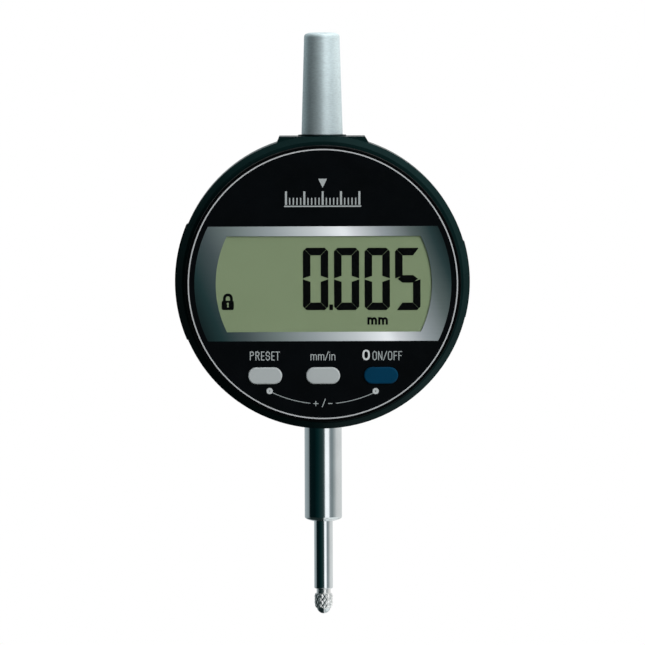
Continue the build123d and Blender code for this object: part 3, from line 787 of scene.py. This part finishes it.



# ------------------------------------------------------------------ return spring, drawn as a still coil in its part's box
def coil_spring():
    lo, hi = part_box("return_spring")
    wire, mean, turns, closed = 0.20 * MM, 3.05 * MM, 10.0, 0.9
    z0, z1 = lo.z + 0.22 * MM, hi.z - 0.22 * MM
    tight = 0.44 * MM                        # pitch of the closed turn at each end
    free = (z1 - z0 - 2 * closed * tight) / (turns - 2 * closed)
    steps, sides = int(turns * 40), 12
    verts, faces = [], []
    for k in range(steps + 1):
        t = turns * k / steps
        if t < closed:
            z = z0 + t * tight
        elif t > turns - closed:
            z = z1 - (turns - t) * tight
        else:
            z = z0 + closed * tight + (t - closed) * free
        a = 2 * math.pi * t
        for i in range(sides):
            b = 2 * math.pi * i / sides
            r = mean + wire * math.cos(b)
            verts.append((r * math.cos(a), r * math.sin(a), z + wire * math.sin(b)))
    for k in range(steps):
        for i in range(sides):
            j = (i + 1) % sides
            faces.append((k * sides + i, (k + 1) * sides + i, (k + 1) * sides + j, k * sides + j))
    faces.append(tuple(range(sides)))
    faces.append(tuple(steps * sides + i for i in range(sides - 1, -1, -1)))
    return make_object("spring_coil", verts, faces, M["spring"], True, 50.0), lo, hi


coil, coil_lo, coil_hi = coil_spring()
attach(coil, "case")
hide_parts("return_spring")
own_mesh(coil)

# ------------------------------------------------------------------ floor, lights, world, camera
verts = [(0.0, 0.0, -0.10)]
N = 160
for i in range(N):
    a = 2 * math.pi * i / N
    verts.append((0.62 * math.cos(a), 0.62 * math.sin(a), -0.10))
faces = [(0, 1 + i, 1 + (i + 1) % N) for i in range(N)]
net = Net("m_floor")
net.link(net.ramp(net.noise(net.obj, 9.0, 3.0), [(0.3, (0.84, 0.84, 0.84)), (0.7, (0.88, 0.88, 0.88))]), net.b.inputs["Base Color"])
net.set(Roughness=0.9, Specular_IOR_Level=0.1)
# the floor has one side only, so a view from below isn't shut off by it
clear = net.add("ShaderNodeBsdfTransparent")
side = net.add("ShaderNodeNewGeometry")
mixed = net.add("ShaderNodeMixShader")
net.link(side.outputs["Backfacing"], mixed.inputs["Fac"])
net.link(net.b.outputs["BSDF"], mixed.inputs[1])
net.link(clear.outputs["BSDF"], mixed.inputs[2])
net.link(mixed.outputs[0], net.out.inputs["Surface"])
floor = make_object("floor", verts, faces, net.m, False)
floor.visible_glossy = False
floor.visible_diffuse = False


def area(name, where, at, size, power, color=(1, 1, 1)):
    la = bpy.data.lights.new(name, "AREA")
    la.shape = "SQUARE"
    la.size = size
    la.energy = power
    la.color = color
    ob = bpy.data.objects.new(name, la)
    ob.location = where
    ob.rotation_euler = (Vector(at) - Vector(where)).to_track_quat("-Z", "Y").to_euler()
    ob.visible_glossy = False
    ob.visible_camera = False
    bpy.context.scene.collection.objects.link(ob)
    return ob


mid = (0, 0, 0.03)
area("light_key", (0.80, -0.85, 0.62), mid, 0.8, 18.9)
area("light_fill", (-0.20, -0.95, 0.75), mid, 0.7, 0.5, (0.30, 0.75, 1.0))
area("light_back_right", (0.70, 0.85, 0.55), mid, 0.7, 6.0)
area("light_back_left", (-0.75, 0.80, 0.35), mid, 0.7, 4.0)
area("light_top", (0.0, 0.0, 1.15), mid, 0.9, 7.0)


def build_world():
    w = bpy.data.worlds.new("studio")
    bpy.context.scene.world = w
    w.use_nodes = True
    t = w.node_tree
    t.nodes.clear()
    add, link = t.nodes.new, t.links.new

    def math_(op, a, b=None, clamp=False):
        n = add("ShaderNodeMath")
        n.operation = op
        n.use_clamp = clamp
        for i, v in enumerate((a, b)):
            if v is None:
                continue
            if isinstance(v, (int, float)):
                n.inputs[i].default_value = v
            else:
                link(v, n.inputs[i])
        return n.outputs[0]

    tc = add("ShaderNodeTexCoord")
    sep = add("ShaderNodeSeparateXYZ")
    link(tc.outputs["Generated"], sep.inputs[0])
    x, y, z = sep.outputs
    ang = math_("ARCTAN2", x, math_("MULTIPLY", y, -1.0))      # 0 towards the camera, + to the right
    u = math_("ADD", math_("MULTIPLY", ang, 1 / (2 * math.pi)), 0.5)
    ramp = add("ShaderNodeValToRGB")
    link(u, ramp.inputs["Fac"])
    top = 1.5
    stops = [
        (-180, (0.52, 0.57, 0.59)), (-150, (0.45, 0.51, 0.53)), (-112, (0.33, 0.385, 0.40)), (-103, (0.28, 0.335, 0.35)),
        (-97, (0.12, 0.155, 0.165)), (-92, (0.003, 0.010, 0.011)), (-55, (0.001, 0.008, 0.009)), (-32, (0.003, 0.020, 0.021)),
        (-20, (0.010, 0.031, 0.032)), (-10, (0.017, 0.041, 0.041)), (-2, (0.034, 0.058, 0.060)), (3, (0.072, 0.104, 0.106)), (8, (0.19, 0.23, 0.23)),
        (13, (1.32, 1.34, 1.36)), (34, (1.32, 1.34, 1.36)), (41, (0.36, 0.40, 0.42)), (56, (0.23, 0.28, 0.29)),
        (72, (0.43, 0.465, 0.47)), (92, (0.77, 0.785, 0.78)), (115, (0.85, 0.86, 0.85)), (165, (0.78, 0.80, 0.80)),
    ]
    e = ramp.color_ramp.elements
    while len(e) > 1:
        e.remove(e[-1])
    for i, (deg, c) in enumerate(stops):
        p = (deg + 180) / 360
        el = e[0] if i == 0 else e.new(p)
        el.position = p
        el.color = tuple(v / top for v in c) + (1.0,)
    # overhead: dark on the left, light on the right
    up = add("ShaderNodeValToRGB")
    link(math_("ADD", math_("MULTIPLY", x, 0.5), 0.5), up.inputs["Fac"])
    ue = up.color_ramp.elements
    while len(ue) > 1:
        ue.remove(ue[-1])
    for i, (p, c) in enumerate([(0.0, (0.03, 0.04, 0.04)), (0.22, (0.12, 0.16, 0.17)), (0.38, (0.40, 0.46, 0.47)), (0.50, (0.92, 0.96, 0.96)), (0.60, (1.45, 1.46, 1.46)), (0.85, (1.15, 1.18, 1.18)), (1.0, (0.7, 0.75, 0.75))]):
        el = ue[0] if i == 0 else ue.new(p)
        el.position = p
        el.color = tuple(v / top for v in c) + (1.0,)
    mixf = add("ShaderNodeMapRange")
    mixf.inputs["From Min"].default_value = 0.45
    mixf.inputs["From Max"].default_value = 0.80
    link(z, mixf.inputs["Value"])
    mix = add("ShaderNodeMix")
    mix.data_type = "RGBA"
    link(mixf.outputs["Result"], mix.inputs["Factor"])
    link(ramp.outputs["Color"], mix.inputs["A"])
    link(up.outputs["Color"], mix.inputs["B"])
    # underneath: dark on the left, a bright strip, mid-grey on the right
    low = add("ShaderNodeValToRGB")
    link(math_("ADD", math_("MULTIPLY", x, 0.5), 0.5), low.inputs["Fac"])
    le = low.color_ramp.elements
    while len(le) > 1:
        le.remove(le[-1])
    for i, (p, c) in enumerate([(0.0, (0.03, 0.04, 0.04)), (0.30, (0.01, 0.022, 0.022)), (0.50, (0.03, 0.05, 0.05)), (0.54, (0.95, 0.98, 0.98)),
                                (0.62, (0.95, 0.98, 0.98)), (0.67, (0.50, 0.54, 0.54)), (0.76, (1.15, 1.20, 1.20)), (0.88, (1.25, 1.32, 1.32)), (1.0, (1.1, 1.15, 1.15))]):
        el = le[0] if i == 0 else le.new(p)
        el.position = p
        el.color = tuple(v / top for v in c) + (1.0,)
    mixl = add("ShaderNodeMapRange")
    mixl.inputs["From Min"].default_value = -0.30
    mixl.inputs["From Max"].default_value = -0.55
    link(z, mixl.inputs["Value"])
    mix2 = add("ShaderNodeMix")
    mix2.data_type = "RGBA"
    link(mixl.outputs["Result"], mix2.inputs["Factor"])
    link(mix.outputs["Result"], mix2.inputs["A"])
    link(low.outputs["Color"], mix2.inputs["B"])
    studio = add("ShaderNodeBackground")
    studio.inputs["Strength"].default_value = top
    link(mix2.outputs["Result"], studio.inputs["Color"])
    white = add("ShaderNodeBackground")
    white.inputs["Color"].default_value = (1, 1, 1, 1)
    white.inputs["Strength"].default_value = 1.0
    lp = add("ShaderNodeLightPath")
    ms = add("ShaderNodeMixShader")
    link(lp.outputs["Is Camera Ray"], ms.inputs["Fac"])
    link(studio.outputs[0], ms.inputs[1])
    link(white.outputs[0], ms.inputs[2])
    out = add("ShaderNodeOutputWorld")
    link(ms.outputs[0], out.inputs["Surface"])


build_world()

DIST, ELEV = 2.0, 2.5
target = Vector((-0.05 * MM, 0.0, HZ - 8.9 * MM))
el = math.radians(ELEV)
cam_data = bpy.data.cameras.new("camera")
cam = bpy.data.objects.new("camera", cam_data)
bpy.context.scene.collection.objects.link(cam)
az = math.radians(-0.22)
cam.location = target + Vector((DIST * math.sin(az) * math.cos(el), -DIST * math.cos(az) * math.cos(el), DIST * math.sin(el)))
look = (target - cam.location).to_track_quat("-Z", "Y").to_matrix().to_4x4()
cam.rotation_euler = (look @ Matrix.Rotation(math.radians(-0.19), 4, "Z")).to_euler()
cam_data.sensor_width = 36.0
cam_data.lens = 36.0 * DIST / (645 * 0.2145 * MM)
cam_data.clip_start = 0.05
cam_data.clip_end = 50.0
bpy.context.scene.camera = cam
bpy.context.scene.view_settings.view_transform = "Standard"
